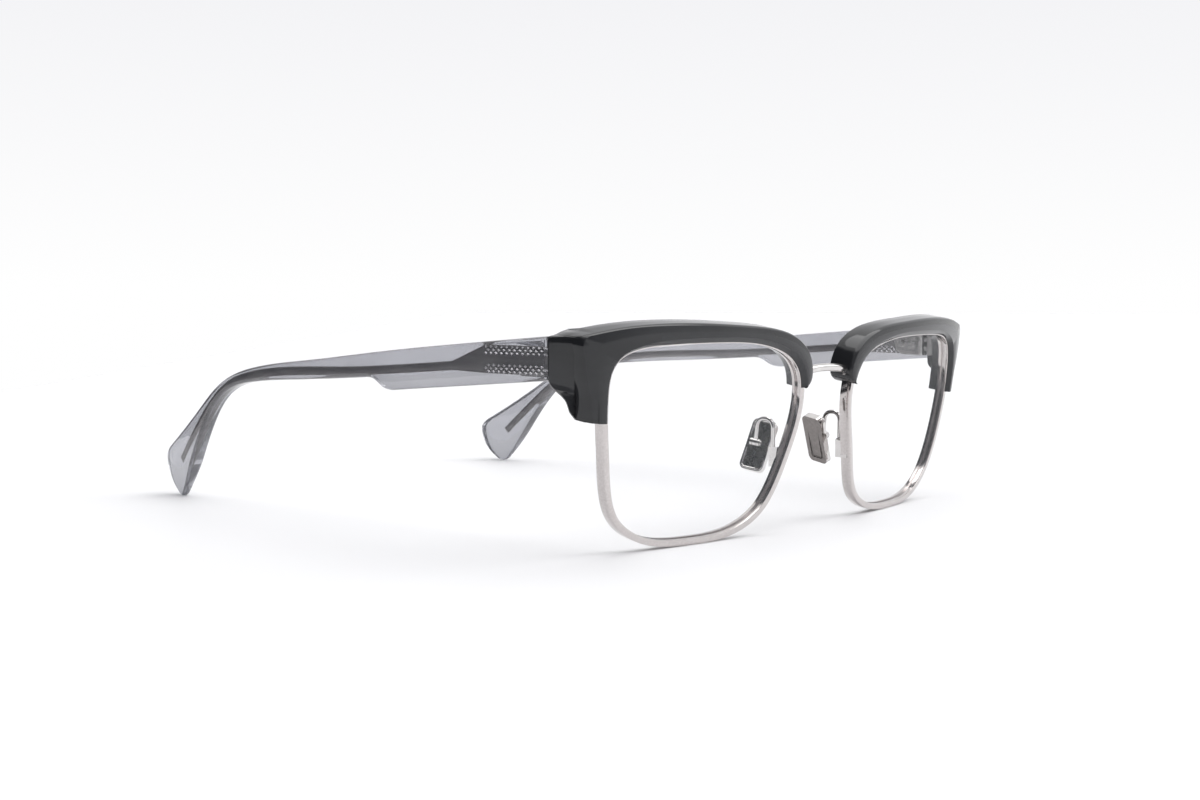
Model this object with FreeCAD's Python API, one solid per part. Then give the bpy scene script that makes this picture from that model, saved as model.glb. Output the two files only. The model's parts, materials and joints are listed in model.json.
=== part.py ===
import FreeCAD, Part
import math
import os
from FreeCAD import Matrix, Placement, Rotation, Vector

# Browline eyeglasses, open, resting on a table on both rims and both temple tips.
# X runs across the face (+X is the wearer's left), the front faces -Y, the temples run to +Y, Z is up.
# Everything is built for the wearer's left side and mirrored in the plane X = 0.
# At the end all pieces move together, so that the origin is the middle of the footprint on the table.

# Lenses and rims, in the lens's own frame: u outwards, v up, w towards the face
lens_width = 53.5
lens_height = 39.0
bridge_gap = 19.6
face_wrap = 7.2
lens_tilt = 9.2
lens_base_radius = 145.0
lens_thickness = 1.7
bevel_depth = 0.45
bevel_thickness = 0.8
lens_gap = 0.03
rim_width = 1.3
rim_depth = 2.3
split_height = 7.4
split_gap = 0.25

# Brows: a channel over the rim, a nasal lobe, an outer leg and the endpiece
brow_rise = 3.1
brow_base_radius = 178.0
brow_front = 1.72
brow_back = 3.0
brow_opening = 0.25
brow_gap = 0.05
lobe_width = 2.35
lobe_reach = 9.5
leg_width = 4.5
leg_reach = 15.2
leg_setback = 2.6
end_overhang = 7.2
end_height = 8.3
end_width = 5.7
end_side = 71.2
end_back = 10.35
end_front_setback = 1.3
end_top_drop = 0.1

# Rim closing barrels inside the outer legs, with one screw each
lock_width = 2.2
lock_block = 1.5
lock_depth = 1.9
lock_gap = 0.15
pocket_ease = 0.35
lock_screw_radius = 0.5
lock_head_radius = 0.8
lock_head_height = 0.5

# Lugs on the rim and the small screws that hold the brow to them
lug_length = 2.6
lug_rise = 1.5
lug_depth = 0.9
lug_places = (-15.0, 17.0)
brow_screw_radius = 0.4
brow_head_radius = 0.65
brow_head_height = 0.5

# Bridge bar between the rims, with a foot to each rim
bridge_height = 1.7
bridge_depth = 1.5
bridge_arch = 0.7
bridge_level = 12.6
bridge_slot_rise = 2.2
slot_gap = 0.2
foot_radius = 0.5
foot_level = 9.2
foot_inset = 2.6

# Guard arms and nose pads
tab_level = -4.6
tab_height = 4.0
tab_reach = 1.7
tab_thickness = 0.9
arm_radius = 0.45
arm_rise = 7.6
arm_span = 3.7
arm_bend = 1.7
pad_length = 11.0
pad_width = 5.2
pad_thickness = 1.3
pad_corner = 1.2
pad_border = 0.6
pad_pocket = 0.45
pad_pivot_height = 1.5
pad_back_offset = 6.6
pad_side_offset = -0.75
pad_up_offset = 2.05
pad_splay = 24.0
pad_lean = 9.0
pad_turn = 9.6
lug_radius = 0.8
lug_thickness = 0.9
ear_thickness = 0.5
ear_gap = 0.08
pad_screw_radius = 0.35
pad_head_radius = 0.55
pad_head_height = 0.3
pivot_clearance = 0.03

# Temples: side outline, inward bow, metal core
temple_length = 136.3
temple_thickness = 3.6
temple_front_height = 8.0
temple_bow_radius = 655.0
temple_joint_gap = 0.12
bend_before_end = 42.3
bend_height = 31.7
bend_width = 3.1
step_place = 43.0
step_length = 8.6
step_width = 4.85
core_thickness = 1.0
core_wire_height = 1.7
core_plate_height = 5.2
core_plate_drop = 4.55
core_wire_drops = (4.0, 3.1)
core_plate_length = 23.5
core_end_before_end = 5.0
core_gap = 0.03

# Hinges: five knuckles on a screw, with leaves set in the endpiece and the temple
knuckle_count = 5
knuckle_height = 1.0
knuckle_gap = 0.05
knuckle_radius = 1.3
hinge_inset = 5.6
hinge_back = 2.0
hinge_drop = 4.75
hinge_screw_radius = 0.6
hinge_head_radius = 1.05
hinge_head_height = 0.6
hinge_clearance = 0.03
leaf_thickness = 1.2
leaf_length = 8.0
leaf_proud = 0.6
front_leaf_depth = 4.2
front_leaf_width = 1.3
leaf_gap = 0.03
rivet_radius = 0.45
rivet_head_radius = 0.8
rivet_head_height = 0.35
rivet_reach = 0.4
rivet_places = (0.42, 0.78)

half_width = lens_width / 2
half_height = lens_height / 2

# Lens shape, as shares of its half width and half height, from the outer side upwards and round
lens_shape = (
    (0.950, -0.080), (0.988, 0.220), (1.000, 0.460), (0.985, 0.680), (0.920, 0.820),
    (0.800, 0.905), (0.520, 0.970), (0.000, 1.000), (-0.400, 0.980), (-0.640, 0.918),
    (-0.830, 0.815), (-0.955, 0.655), (-1.000, 0.430), (-0.975, 0.120), (-0.905, -0.170),
    (-0.825, -0.460), (-0.700, -0.740), (-0.500, -0.905), (-0.220, -0.985), (0.060, -1.000),
    (0.370, -0.985), (0.600, -0.900), (0.790, -0.715), (0.890, -0.440),
)


def closed_curve(points):
    curve = Part.BSplineCurve()
    curve.interpolate(Points=points, PeriodicFlag=True)
    return curve


def open_edge(points):
    curve = Part.BSplineCurve()
    curve.interpolate(Points=points)
    return curve.toShape()


def line(start, end):
    return Part.LineSegment(start, end).toShape()


def solid_of(shape):
    # A boolean result as its plain solids, which STEP keeps apart
    shape = shape.removeSplitter()
    if len(shape.Solids) == 1:
        return shape.Solids[0]
    return Part.makeCompound(shape.Solids)


lens_curve = closed_curve([Vector(u * half_width, 0, v * half_height) for u, v in lens_shape])


def outline_points(offset, count=32):
    # Points of the lens outline moved outwards by offset, in the plane w = 0
    points = []
    first = lens_curve.FirstParameter
    span = lens_curve.LastParameter - first
    for step in range(count):
        place = first + span * step / count
        tangent = lens_curve.tangent(place)[0]
        outwards = Vector(tangent.z, 0, -tangent.x)
        points.append(lens_curve.value(place) + outwards * offset)
    return points


def outline_prism(offset, front=-12.0, back=22.0):
    wire = Part.Wire([closed_curve(outline_points(offset)).toShape()])
    face = Part.Face(wire)
    face.translate(Vector(0, front, 0))
    return face.extrude(Vector(0, back - front, 0))


def base_ball(radius, front):
    # A ball whose foremost point is at w = front
    return Part.makeSphere(radius, Vector(0, front + radius, 0))


def curved_layer(front, back):
    # The space between two surfaces parallel to the lens
    outer = base_ball(lens_base_radius - front, front)
    inner = base_ball(lens_base_radius - back, back)
    return outer.cut(inner)


def sag(u, v):
    return lens_base_radius - math.sqrt(lens_base_radius ** 2 - u * u - v * v)


def nasal_edge(v):
    near = [p for p in outline_points(0, 720) if p.x < 0]
    return min(near, key=lambda p: abs(p.z - v)).x


def outer_edge(v):
    near = [p for p in outline_points(0, 720) if p.x > 0]
    return min(near, key=lambda p: abs(p.z - v)).x


# The rim stands on the table: its lowest point sets the height of the lens's middle
turn = Rotation(Vector(1, 0, 0), lens_tilt).multiply(Rotation(Vector(0, 0, 1), face_wrap))
rim_drop = min(
    turn.multVec(Vector(p.x, sag(p.x, p.z) + side * rim_depth / 2, p.z)).z
    for p in outline_points(rim_width - bevel_depth)
    for side in (-1, 1)
)
lens_middle = Vector(bridge_gap / 2 + half_width * math.cos(math.radians(face_wrap)), 0, -rim_drop)
lens_place = Placement(lens_middle, turn)


def placed(shape):
    shape.Placement = lens_place.multiply(shape.Placement)
    return shape


def world_point(u, w, v):
    return lens_place.multVec(Vector(u, w + sag(u, v), v))


def mirrored(shape):
    return shape.mirror(Vector(0, 0, 0), Vector(1, 0, 0))


def local_box(u, v, w, size_u, size_v, size_w):
    # A box centred on the lens surface at (u, v), moved by w
    corner = Vector(u - size_u / 2, w + sag(u, v) - size_w / 2, v - size_v / 2)
    return Part.makeBox(size_u, size_w, size_v, corner)


def make_rim():
    ring = outline_prism(rim_width - bevel_depth).cut(outline_prism(-bevel_depth))
    ring = ring.common(curved_layer(-rim_depth / 2, rim_depth / 2))
    groove_half = bevel_thickness / 2 + lens_gap
    groove = outline_prism(lens_gap).common(curved_layer(-groove_half, groove_half))
    ring = ring.cut(groove)
    split_u = outer_edge(split_height)
    split = local_box(split_u, split_height, 0, 4 * rim_width, split_gap, 2 * rim_depth)
    return ring.cut(split)


def make_lens():
    half = lens_thickness / 2
    body = outline_prism(-bevel_depth - lens_gap).common(curved_layer(-half, half))
    edge_half = bevel_thickness / 2
    edge = outline_prism(0).common(curved_layer(-edge_half, edge_half))
    return body.fuse(edge)


def lock_middle():
    # Middle of the closing barrels, just outside the rim at its split
    rim_side = outer_edge(split_height) + rim_width - bevel_depth
    return rim_side + lock_width / 2 - 0.25, split_height


def lock_screw_length():
    return 2 * lock_block + split_gap


def make_lock():
    u, v = lock_middle()
    blocks = []
    for side in (-1, 1):
        middle = v + side * (split_gap + lock_block) / 2
        block = local_box(u, middle, 0, lock_width, lock_block, lock_depth)
        blocks.append(block.cut(outline_prism(rim_width - bevel_depth)))
    bore = Part.makeCylinder(lock_screw_radius, 4 * lock_block, Vector(u + 0.2, sag(u, v), v - 2 * lock_block))
    return Part.makeCompound([block.cut(bore) for block in blocks])


def make_lock_screw():
    u, v = lock_middle()
    base = Vector(u + 0.2, sag(u, v), v - lock_screw_length() / 2)
    shaft = Part.makeCylinder(lock_screw_radius, lock_screw_length(), base)
    head = Part.makeCylinder(lock_head_radius, lock_head_height, base - Vector(0, 0, lock_head_height))
    return shaft.fuse(head)


def top_edge(u):
    near = [p for p in outline_points(0, 720) if p.z > 0]
    return min(near, key=lambda p: abs(p.x - u)).z


def lug_middle(u):
    return top_edge(u) + rim_width - bevel_depth + lug_rise / 2 - 0.15


def make_lugs():
    lugs = []
    for u in lug_places:
        v = lug_middle(u)
        lug = local_box(u, v, 0, lug_length, lug_rise, lug_depth)
        lug = lug.cut(outline_prism(rim_width - bevel_depth))
        bore = Part.makeCylinder(brow_screw_radius, 10, Vector(u, sag(u, v) - 5, v), Vector(0, 1, 0))
        lugs.append(lug.cut(bore))
    return Part.makeCompound(lugs)


def brow_screw(u, radius_gap=0.0):
    v = lug_middle(u)
    start = sag(u, v) - lug_depth / 2 - 0.3
    end = sag(u, v) + brow_back - brow_head_height
    shaft = Part.makeCylinder(brow_screw_radius + radius_gap, end - start, Vector(u, start, v), Vector(0, 1, 0))
    head = Part.makeCylinder(
        brow_head_radius + radius_gap, brow_head_height + 10 * radius_gap, Vector(u, end, v), Vector(0, 1, 0)
    )
    return shaft.fuse(head)


def make_brow_screws():
    return Part.makeCompound([brow_screw(u) for u in lug_places])


def flat_points(pairs):
    return [Vector(u, 0, v) for u, v in pairs]


def brow_outline():
    # Front view of the brow: up the outer leg, over the top and down the nasal lobe
    leg_bottom = half_height - leg_reach
    lobe_bottom = half_height - lobe_reach
    side = (
        (half_width + leg_width, leg_bottom),
        (half_width + leg_width + 0.5, leg_bottom + 3.6),
        (half_width + end_overhang - 0.9, half_height - 6.6),
        (half_width + end_overhang - 0.3, half_height - 3.0),
    )
    corner = (
        (half_width + end_overhang - 0.3, half_height - 3.0),
        (half_width + end_overhang - 0.1, half_height - 0.4),
        (half_width + end_overhang - 1.6, half_height + 0.55),
    )
    over = (
        (half_width + end_overhang - 1.6, half_height + 0.55),
        (half_width - 0.8, half_height + brow_rise - 1.2),
        (0.66 * half_width, half_height + brow_rise - 0.2),
        (0.24 * half_width, half_height + brow_rise + 0.2),
        (-0.21 * half_width, half_height + brow_rise - 0.1),
        (-0.54 * half_width, half_height + brow_rise - 0.7),
        (-0.75 * half_width, half_height + brow_rise - 1.7),
        (-half_width + 2.5, half_height + brow_rise - 3.3),
        (-half_width - 0.3, half_height + brow_rise - 5.4),
        (-half_width - lobe_width + 0.5, half_height + brow_rise - 7.8),
        (-half_width - lobe_width, half_height + brow_rise - 10.0),
        (-half_width - lobe_width + 0.5, lobe_bottom + 0.9),
        (-half_width - 0.6, lobe_bottom),
    )
    bottom = (
        over[-1],
        (-half_width + 4.0, lobe_bottom),
        (half_width - 4.0, leg_bottom),
        side[0],
    )
    edges = [open_edge(flat_points(part)) for part in (side, corner, over)]
    corners = flat_points(bottom)
    edges += [line(corners[step], corners[step + 1]) for step in range(3)]
    return Part.Wire(Part.__sortEdges__(edges))


def endpiece():
    # The block that carries the hinge: square to the temple, with a curved lower back edge
    top = end_top()
    low = top - end_height
    back = end_back
    front = -6.0
    leg_level = low - 5.2
    curve = open_edge([
        Vector(0, back, low),
        Vector(0, back - 1.0, low - 1.4),
        Vector(0, back - 2.5, low - 2.7),
        Vector(0, back - 3.3, leg_level),
    ])
    straight = [
        line(Vector(0, back - 3.3, leg_level), Vector(0, front, leg_level)),
        line(Vector(0, front, leg_level), Vector(0, front, top)),
        line(Vector(0, front, top), Vector(0, back, top)),
        line(Vector(0, back, top), Vector(0, back, low)),
    ]
    side_face = Part.Face(Part.Wire(Part.__sortEdges__([curve] + straight)))
    side_face.translate(Vector(end_side - end_width, 0, 0))
    block = side_face.extrude(Vector(end_width, 0, 0))
    # The outer face curves in towards the leg below, and draws in a little towards the front
    outer_side = [
        Vector(end_side, front, low + 2.0),
        Vector(end_side - 0.3, front, low - 0.6),
        Vector(end_side - 1.5, front, low - 3.2),
        Vector(end_side - 2.9, front, leg_level - 1.0),
    ]
    beside = [
        outer_side[-1],
        Vector(end_side + 3, front, leg_level - 1.0),
        Vector(end_side + 3, front, low + 2.0),
        outer_side[0],
    ]
    waste_edges = [open_edge(outer_side)]
    waste_edges += [line(beside[step], beside[step + 1]) for step in range(3)]
    waste = Part.Face(Part.Wire(Part.__sortEdges__(waste_edges))).extrude(Vector(0, 40, 0))
    draw_in = Part.makePolygon([
        Vector(end_side, back, leg_level - 2),
        Vector(end_side + 4, back, leg_level - 2),
        Vector(end_side + 4, front, leg_level - 2),
        Vector(end_side - 2 * end_front_setback, front, leg_level - 2),
        Vector(end_side, back, leg_level - 2),
    ])
    wedge = Part.Face(draw_in).extrude(Vector(0, 0, 40))
    return block.cut(waste).cut(wedge)


def end_top():
    # Top of the endpiece: level with the brow's outer upper corner
    corner = lens_place.multVec(Vector(half_width + end_overhang, sag(half_width, half_height), half_height))
    return corner.z + end_top_drop


def make_brow():
    front_ball = placed(base_ball(brow_base_radius, -brow_front))
    outline = Part.Face(brow_outline())
    outline.translate(Vector(0, -12, 0))
    band = outline.extrude(Vector(0, 34, 0)).cut(base_ball(lens_base_radius - brow_back, brow_back))
    body = placed(band).common(front_ball)
    end = endpiece().common(front_ball)
    end = end.cut(placed(outline_prism(rim_width + 1.0)).common(placed(curved_layer(-8, 30))))
    body = body.fuse(end)
    # The leg is thinner than the rest of the brow: its back is flat, below the endpiece
    leg_room = Part.makeBox(20, 20, 30, Vector(end_side - 12, end_back - leg_setback, end_top() - end_height - 31.4))
    body = body.cut(leg_room)
    body = body.cut(placed(outline_prism(-brow_opening)))
    half = rim_depth / 2 + brow_gap
    channel = outline_prism(rim_width - bevel_depth + brow_gap).common(curved_layer(-half, half))
    body = body.cut(placed(channel))
    return body


def cut_brow_pockets(brow):
    u, v = lock_middle()
    pocket_top = v + lock_screw_length() / 2 + lock_gap + pocket_ease
    pocket_low = half_height - leg_reach - 1
    pocket = local_box(
        u - 0.3, (pocket_top + pocket_low) / 2, 0,
        lock_width + 0.6 + 2 * lock_gap, pocket_top - pocket_low, lock_depth + 2 * lock_gap + 2 * pocket_ease
    )
    brow = brow.cut(placed(pocket))
    for place in lug_places:
        middle = lug_middle(place)
        room = local_box(
            place, middle, 0,
            lug_length + 2 * brow_gap, lug_rise + 2 * brow_gap, lug_depth + 2 * brow_gap
        )
        brow = brow.cut(placed(room))
        brow = brow.cut(placed(brow_screw(place, brow_gap)))
    slot_mid = world_point(-half_width - lobe_width, 0, bridge_level)
    slot_low = slot_mid.z - bridge_height / 2 - slot_gap
    slot = Part.makeBox(
        lobe_width + 2.5, bridge_depth + 2 * slot_gap, bridge_height + bridge_slot_rise + 2 * slot_gap,
        Vector(slot_mid.x - 1.5, slot_mid.y - bridge_depth / 2 - slot_gap, slot_low)
    )
    brow = brow.cut(slot)
    start, finish = foot_ends(1)
    run = (finish - start).normalize()
    start = start - run * slot_gap
    return brow.cut(Part.makeCylinder(foot_radius + slot_gap, 12, start, run))


def bridge_end():
    return world_point(-half_width - rim_width + bevel_depth, 0, bridge_level)


def foot_ends(side):
    # From under the end of the bar down to the rim
    end = bridge_end()
    low = world_point(-half_width - 0.2, 0, foot_level)
    start = Vector(side * (end.x - foot_inset), end.y, end.z - 0.2)
    return start, Vector(side * low.x, low.y, low.z)


def make_bridge(rims):
    end = bridge_end()
    inner_x = end.x + 0.9
    bar = Part.makeBox(
        2 * inner_x, bridge_depth, bridge_height + bridge_arch,
        Vector(-inner_x, end.y - bridge_depth / 2, end.z - bridge_height / 2)
    )
    # The bar is arched: two long cylinders across the face trim it above and below
    arch_radius = (inner_x ** 2 + bridge_arch ** 2) / (2 * bridge_arch)
    crown = end.z + bridge_height / 2 + bridge_arch
    axis = Vector(0, 1, 0)
    upper = Part.makeCylinder(arch_radius, 20, Vector(0, -12, crown - arch_radius), axis)
    lower = Part.makeCylinder(
        arch_radius - bridge_height, 20, Vector(0, -12, crown - arch_radius), axis
    )
    bar = bar.common(upper).cut(lower)
    shapes = [bar]
    for side in (-1, 1):
        start, finish = foot_ends(side)
        run = finish - start
        shapes.append(Part.makeCylinder(foot_radius, run.Length, start, run))
    bridge = shapes[0].multiFuse(shapes[1:])
    for rim in rims:
        bridge = bridge.cut(rim)
    for side in (-1, 1):
        # What would stand inside the lens opening or the groove is trimmed away
        hole = placed(outline_prism(rim_width - bevel_depth))
        bridge = bridge.cut(hole if side == 1 else mirrored(hole))
    return bridge


def wire_run(points, bend, radius):
    # A round wire along straight runs joined by tangent arcs
    edges = []
    start = points[0]
    for step in range(1, len(points) - 1):
        before = (points[step - 1] - points[step]).normalize()
        after = (points[step + 1] - points[step]).normalize()
        half = before.getAngle(after) / 2
        reach = bend / math.tan(half)
        inner = (before + after).normalize() * (bend / math.sin(half))
        arc_start = points[step] + before * reach
        arc_end = points[step] + after * reach
        middle = points[step] + inner - (before + after).normalize() * bend
        edges.append(line(start, arc_start))
        edges.append(Part.Arc(arc_start, middle, arc_end).toShape())
        start = arc_end
    edges.append(line(start, points[-1]))
    path = Part.Wire(edges)
    circle = Part.Wire([Part.Circle(points[0], points[1] - points[0], radius).toShape()])
    return path.makePipeShell([circle], True, True)


rim_nose = world_point(nasal_edge(tab_level) - (rim_width - bevel_depth) / 2, 0, tab_level)
pad_middle = rim_nose + Vector(pad_side_offset, pad_back_offset, pad_up_offset)


def pad_placement():
    # Pad frame: x along its width, y up its length, z out of its back
    across = Vector(0, 1, 0)
    up = Vector(0, 0, 1)
    out = Vector(1, 0, 0)
    spin = Rotation(Vector(0, 1, 0), -pad_splay)
    spin = Rotation(Vector(1, 0, 0), pad_lean).multiply(spin)
    spin = Rotation(Vector(0, 0, 1), -pad_turn).multiply(spin)
    x_axis = spin.multVec(across)
    y_axis = spin.multVec(up)
    z_axis = spin.multVec(out)
    matrix = Matrix(
        x_axis.x, y_axis.x, z_axis.x, pad_middle.x,
        x_axis.y, y_axis.y, z_axis.y, pad_middle.y,
        x_axis.z, y_axis.z, z_axis.z, pad_middle.z,
        0, 0, 0, 1,
    )
    return Placement(matrix)


pad_place = pad_placement()
pad_pivot = pad_place.multVec(Vector(0, 0, pad_pivot_height))
pad_axis = pad_place.Rotation.multVec(Vector(1, 0, 0))


def rounded_plate(width, length, thickness, corner, low):
    half_x = width / 2
    half_y = length / 2
    plate = Part.makeBox(width, length, thickness, Vector(-half_x, -half_y, low))
    upright = [
        edge for edge in plate.Edges
        if abs(edge.tangentAt(edge.FirstParameter).z) > 0.99
    ]
    return plate.makeFillet(corner, upright)


def make_pad():
    plate = rounded_plate(pad_width, pad_length, pad_thickness, pad_corner, -pad_thickness)
    pocket = rounded_plate(
        pad_width - 2 * pad_border, pad_length - 2 * pad_border, pad_pocket,
        pad_corner - pad_border / 2, -pad_pocket
    )
    plate = plate.cut(pocket)
    ear_inner = lug_thickness / 2 + ear_gap
    ears = []
    for side in (-1, 1):
        left = ear_inner if side == 1 else -ear_inner - ear_thickness
        ear = Part.makeBox(
            ear_thickness, 2 * lug_radius, pad_pivot_height + pad_pocket,
            Vector(left, -lug_radius, -pad_pocket)
        )
        round_end = Part.makeCylinder(
            lug_radius, ear_thickness, Vector(left, 0, pad_pivot_height), Vector(1, 0, 0)
        )
        ears.append(ear.fuse(round_end))
    pad = plate.multiFuse(ears)
    bore = Part.makeCylinder(pad_screw_radius, 10, Vector(-5, 0, pad_pivot_height), Vector(1, 0, 0))
    pad = pad.cut(bore)
    pad.Placement = pad_place
    return pad


def make_pad_screw():
    reach = lug_thickness / 2 + ear_gap + ear_thickness
    shaft = Part.makeCylinder(
        pad_screw_radius, 2 * reach, Vector(-reach, 0, pad_pivot_height), Vector(1, 0, 0)
    )
    head = Part.makeCylinder(
        pad_head_radius, pad_head_height, Vector(-reach - pad_head_height, 0, pad_pivot_height), Vector(1, 0, 0)
    )
    screw = shaft.fuse(head)
    screw.Placement = pad_place
    return screw


def make_pad_arm():
    tab_x = rim_nose.x
    tab_front = rim_nose.y
    tab_back = rim_nose.y + rim_depth / 2 + tab_reach
    tab = Part.makeBox(
        tab_thickness, tab_back - tab_front, tab_height,
        Vector(tab_x, tab_front, rim_nose.z - tab_height / 2)
    )
    base = Vector(tab_x + tab_thickness / 2, tab_back - arm_radius - 0.3, rim_nose.z + tab_height / 2 - 0.8)
    top_front = Vector(base.x, base.y, rim_nose.z + arm_rise)
    top_back = Vector(pad_pivot.x, base.y + arm_span, rim_nose.z + arm_rise)
    wire = wire_run([base, top_front, top_back, pad_pivot], arm_bend, arm_radius)
    lug = Part.makeCylinder(
        lug_radius, lug_thickness, pad_pivot - pad_axis * (lug_thickness / 2), pad_axis
    )
    bore = Part.makeCylinder(
        pad_screw_radius + pivot_clearance, 10, pad_pivot - pad_axis * 5, pad_axis
    )
    wire = wire.cut(ear_room())
    arm = tab.fuse(wire).fuse(lug).cut(bore)
    # The tab sits against the outside and the back of the rim, clear of the lens
    half = rim_depth / 2
    slab = outline_prism(rim_width - bevel_depth).common(curved_layer(-half, half))
    return arm.cut(placed(slab))


def ear_room():
    # The wire narrows where it passes between the ears of the pad's pivot box
    rooms = []
    for side in (-1, 1):
        start = lug_thickness / 2 if side == 1 else -lug_thickness / 2 - 2
        room = Part.makeBox(2, 5, 5, Vector(start, -2.5, pad_pivot_height - 2.5))
        room.Placement = pad_place
        rooms.append(room)
    return Part.makeCompound(rooms)


# Temples
hinge_top = end_top()
temple_start = end_back + temple_joint_gap
temple_middle_x = end_side - temple_thickness / 2
bow_centre = Vector(temple_middle_x - temple_bow_radius, temple_start - 6.6, -20)


def bow_layer(offset, thickness):
    outer = Part.makeCylinder(temple_bow_radius + offset + thickness / 2, 120, bow_centre)
    inner = Part.makeCylinder(temple_bow_radius + offset - thickness / 2, 120, bow_centre)
    return outer.cut(inner)


def side_prism(edges):
    face = Part.Face(Part.Wire(Part.__sortEdges__(edges)))
    return face.extrude(Vector(60, 0, 0))


def side_point(along, height):
    return Vector(30, temple_start + along, height)


def from_end(before, height):
    return side_point(temple_length - before, height)


def top_line(along):
    # Straight upper edge of the temple, falling from the hinge to the ear bend
    bend = temple_length - bend_before_end
    share = along / bend
    crown = 0.45 * math.sin(math.pi * share)
    return hinge_top + (bend_height - hinge_top) * share + crown


def temple_outline():
    bend = temple_length - bend_before_end
    step_end = step_place + step_length
    top = [side_point(bend * share, top_line(bend * share)) for share in (0, 0.25, 0.5, 0.75, 1.0)]
    top += [
        from_end(33.3, 29.7), from_end(26.3, 26.9), from_end(18.8, 22.2), from_end(9.0, 15.9), from_end(1.9, 11.7),
    ]
    end_curve = [from_end(1.9, 11.7), from_end(0.2, 9.9), from_end(0.1, 7.4), from_end(2.6, 2.2), from_end(5.0, 0.2)]
    toe = [from_end(5.0, 0.2), from_end(6.3, 0.0), from_end(7.6, 0.6)]
    under = [
        from_end(7.6, 0.6), from_end(11.0, 4.9), from_end(16.5, 13.0), from_end(21.5, 19.4),
        from_end(27.0, 24.2), from_end(34.0, 27.2),
        side_point(bend, bend_height - bend_width),
        side_point((bend + step_end) / 2, top_line((bend + step_end) / 2) - (bend_width + step_width) / 2),
        side_point(step_end, top_line(step_end) - step_width),
    ]
    step = [
        side_point(step_end, top_line(step_end) - step_width),
        side_point(step_place + 0.72 * step_length, top_line(step_end) - step_width - 0.1),
        side_point(step_place + 0.3 * step_length, top_line(step_place) - temple_front_height + 0.5),
        side_point(step_place, top_line(step_place) - temple_front_height + 0.15),
    ]
    front_low = side_point(0, hinge_top - temple_front_height)
    edges = [open_edge(part) for part in (top, end_curve, toe, under, step)]
    edges.append(line(step[-1], front_low))
    edges.append(line(front_low, top[0]))
    return edges


def core_outline(grow, reach_front):
    # The pointed plate at the hinge, then a slim wire to the tip
    bend = temple_length - bend_before_end
    half_plate = core_plate_height / 2 + grow
    half_wire = core_wire_height / 2 + grow
    plate_mid = hinge_top - core_plate_drop
    point = core_plate_length
    middle = [
        (point + 2, top_line(point + 2) - core_wire_drops[0]),
        (0.5 * (point + bend), top_line(0.5 * (point + bend)) - core_wire_drops[1]),
        (bend, bend_height - bend_width / 2 - 0.1),
        (temple_length - 30.5, 27.0),
        (temple_length - 23.0, 22.6),
        (temple_length - 13.8, 14.6),
        (temple_length - core_end_before_end - 2.4, 8.6),
    ]
    upper = []
    lower = []
    for step, (along, height) in enumerate(middle):
        before = middle[max(step - 1, 0)]
        after = middle[min(step + 1, len(middle) - 1)]
        run = Vector(after[0] - before[0], after[1] - before[1], 0).normalize()
        upper.append(side_point(along - run.y * half_wire, height + run.x * half_wire))
        lower.append(side_point(along + run.y * half_wire, height - run.x * half_wire))
    corners = [
        upper[0],
        side_point(point - 7 + grow, plate_mid + half_plate),
        side_point(-reach_front, plate_mid + half_plate),
        side_point(-reach_front, plate_mid - half_plate),
        side_point(point - 7 + grow, plate_mid - half_plate),
        lower[0],
    ]
    edges = [open_edge(upper), open_edge(lower), line(upper[-1], lower[-1])]
    edges += [line(corners[step], corners[step + 1]) for step in range(5)]
    return edges


def make_core():
    return side_prism(core_outline(0.0, 0.0)).common(bow_layer(0, core_thickness))


def core_pocket():
    return side_prism(core_outline(core_gap, 1.0)).common(bow_layer(0, core_thickness + 2 * core_gap))


# Hinge
hinge_x = end_side - hinge_inset
hinge_y = end_back + hinge_back
hinge_stack = knuckle_count * knuckle_height + (knuckle_count - 1) * knuckle_gap
hinge_low = hinge_top - hinge_drop - hinge_stack / 2
leaf_front_face = end_side - temple_thickness - leaf_proud


def upright_cylinder(radius, low, height):
    return Part.makeCylinder(radius, height, Vector(hinge_x, hinge_y, low))


def knuckle_low(index):
    return hinge_low + index * (knuckle_height + knuckle_gap)


def make_front_leaf():
    # The second and fourth knuckles, on arms from a block sunk in the endpiece
    depth = front_leaf_depth
    block = Part.makeBox(
        front_leaf_width, depth, hinge_stack,
        Vector(hinge_x - front_leaf_width / 2, end_back - depth, hinge_low)
    )
    pieces = [block]
    for index in range(1, knuckle_count, 2):
        low = knuckle_low(index)
        pieces.append(upright_cylinder(knuckle_radius, low, knuckle_height))
        pieces.append(Part.makeBox(
            front_leaf_width, hinge_back + 0.5, knuckle_height,
            Vector(hinge_x - front_leaf_width / 2, end_back - 0.5, low)
        ))
    leaf = pieces[0].multiFuse(pieces[1:])
    return leaf.cut(upright_cylinder(hinge_screw_radius, hinge_low - 1, hinge_stack + 2))


def leaf_plate(grow):
    # Temple leaf: a plate with a rounded end, let into the temple's inner face
    half = hinge_stack / 2 + grow
    middle = hinge_low + hinge_stack / 2
    straight_end = hinge_y + leaf_length - hinge_stack / 2
    front = hinge_y - 0.6 - grow
    plate = Part.makeBox(
        leaf_thickness + grow, straight_end - front, 2 * half,
        Vector(leaf_front_face, front, middle - half)
    )
    end = Part.makeCylinder(
        half, leaf_thickness + grow, Vector(leaf_front_face, straight_end, middle), Vector(1, 0, 0)
    )
    return plate.fuse(end)


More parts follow.
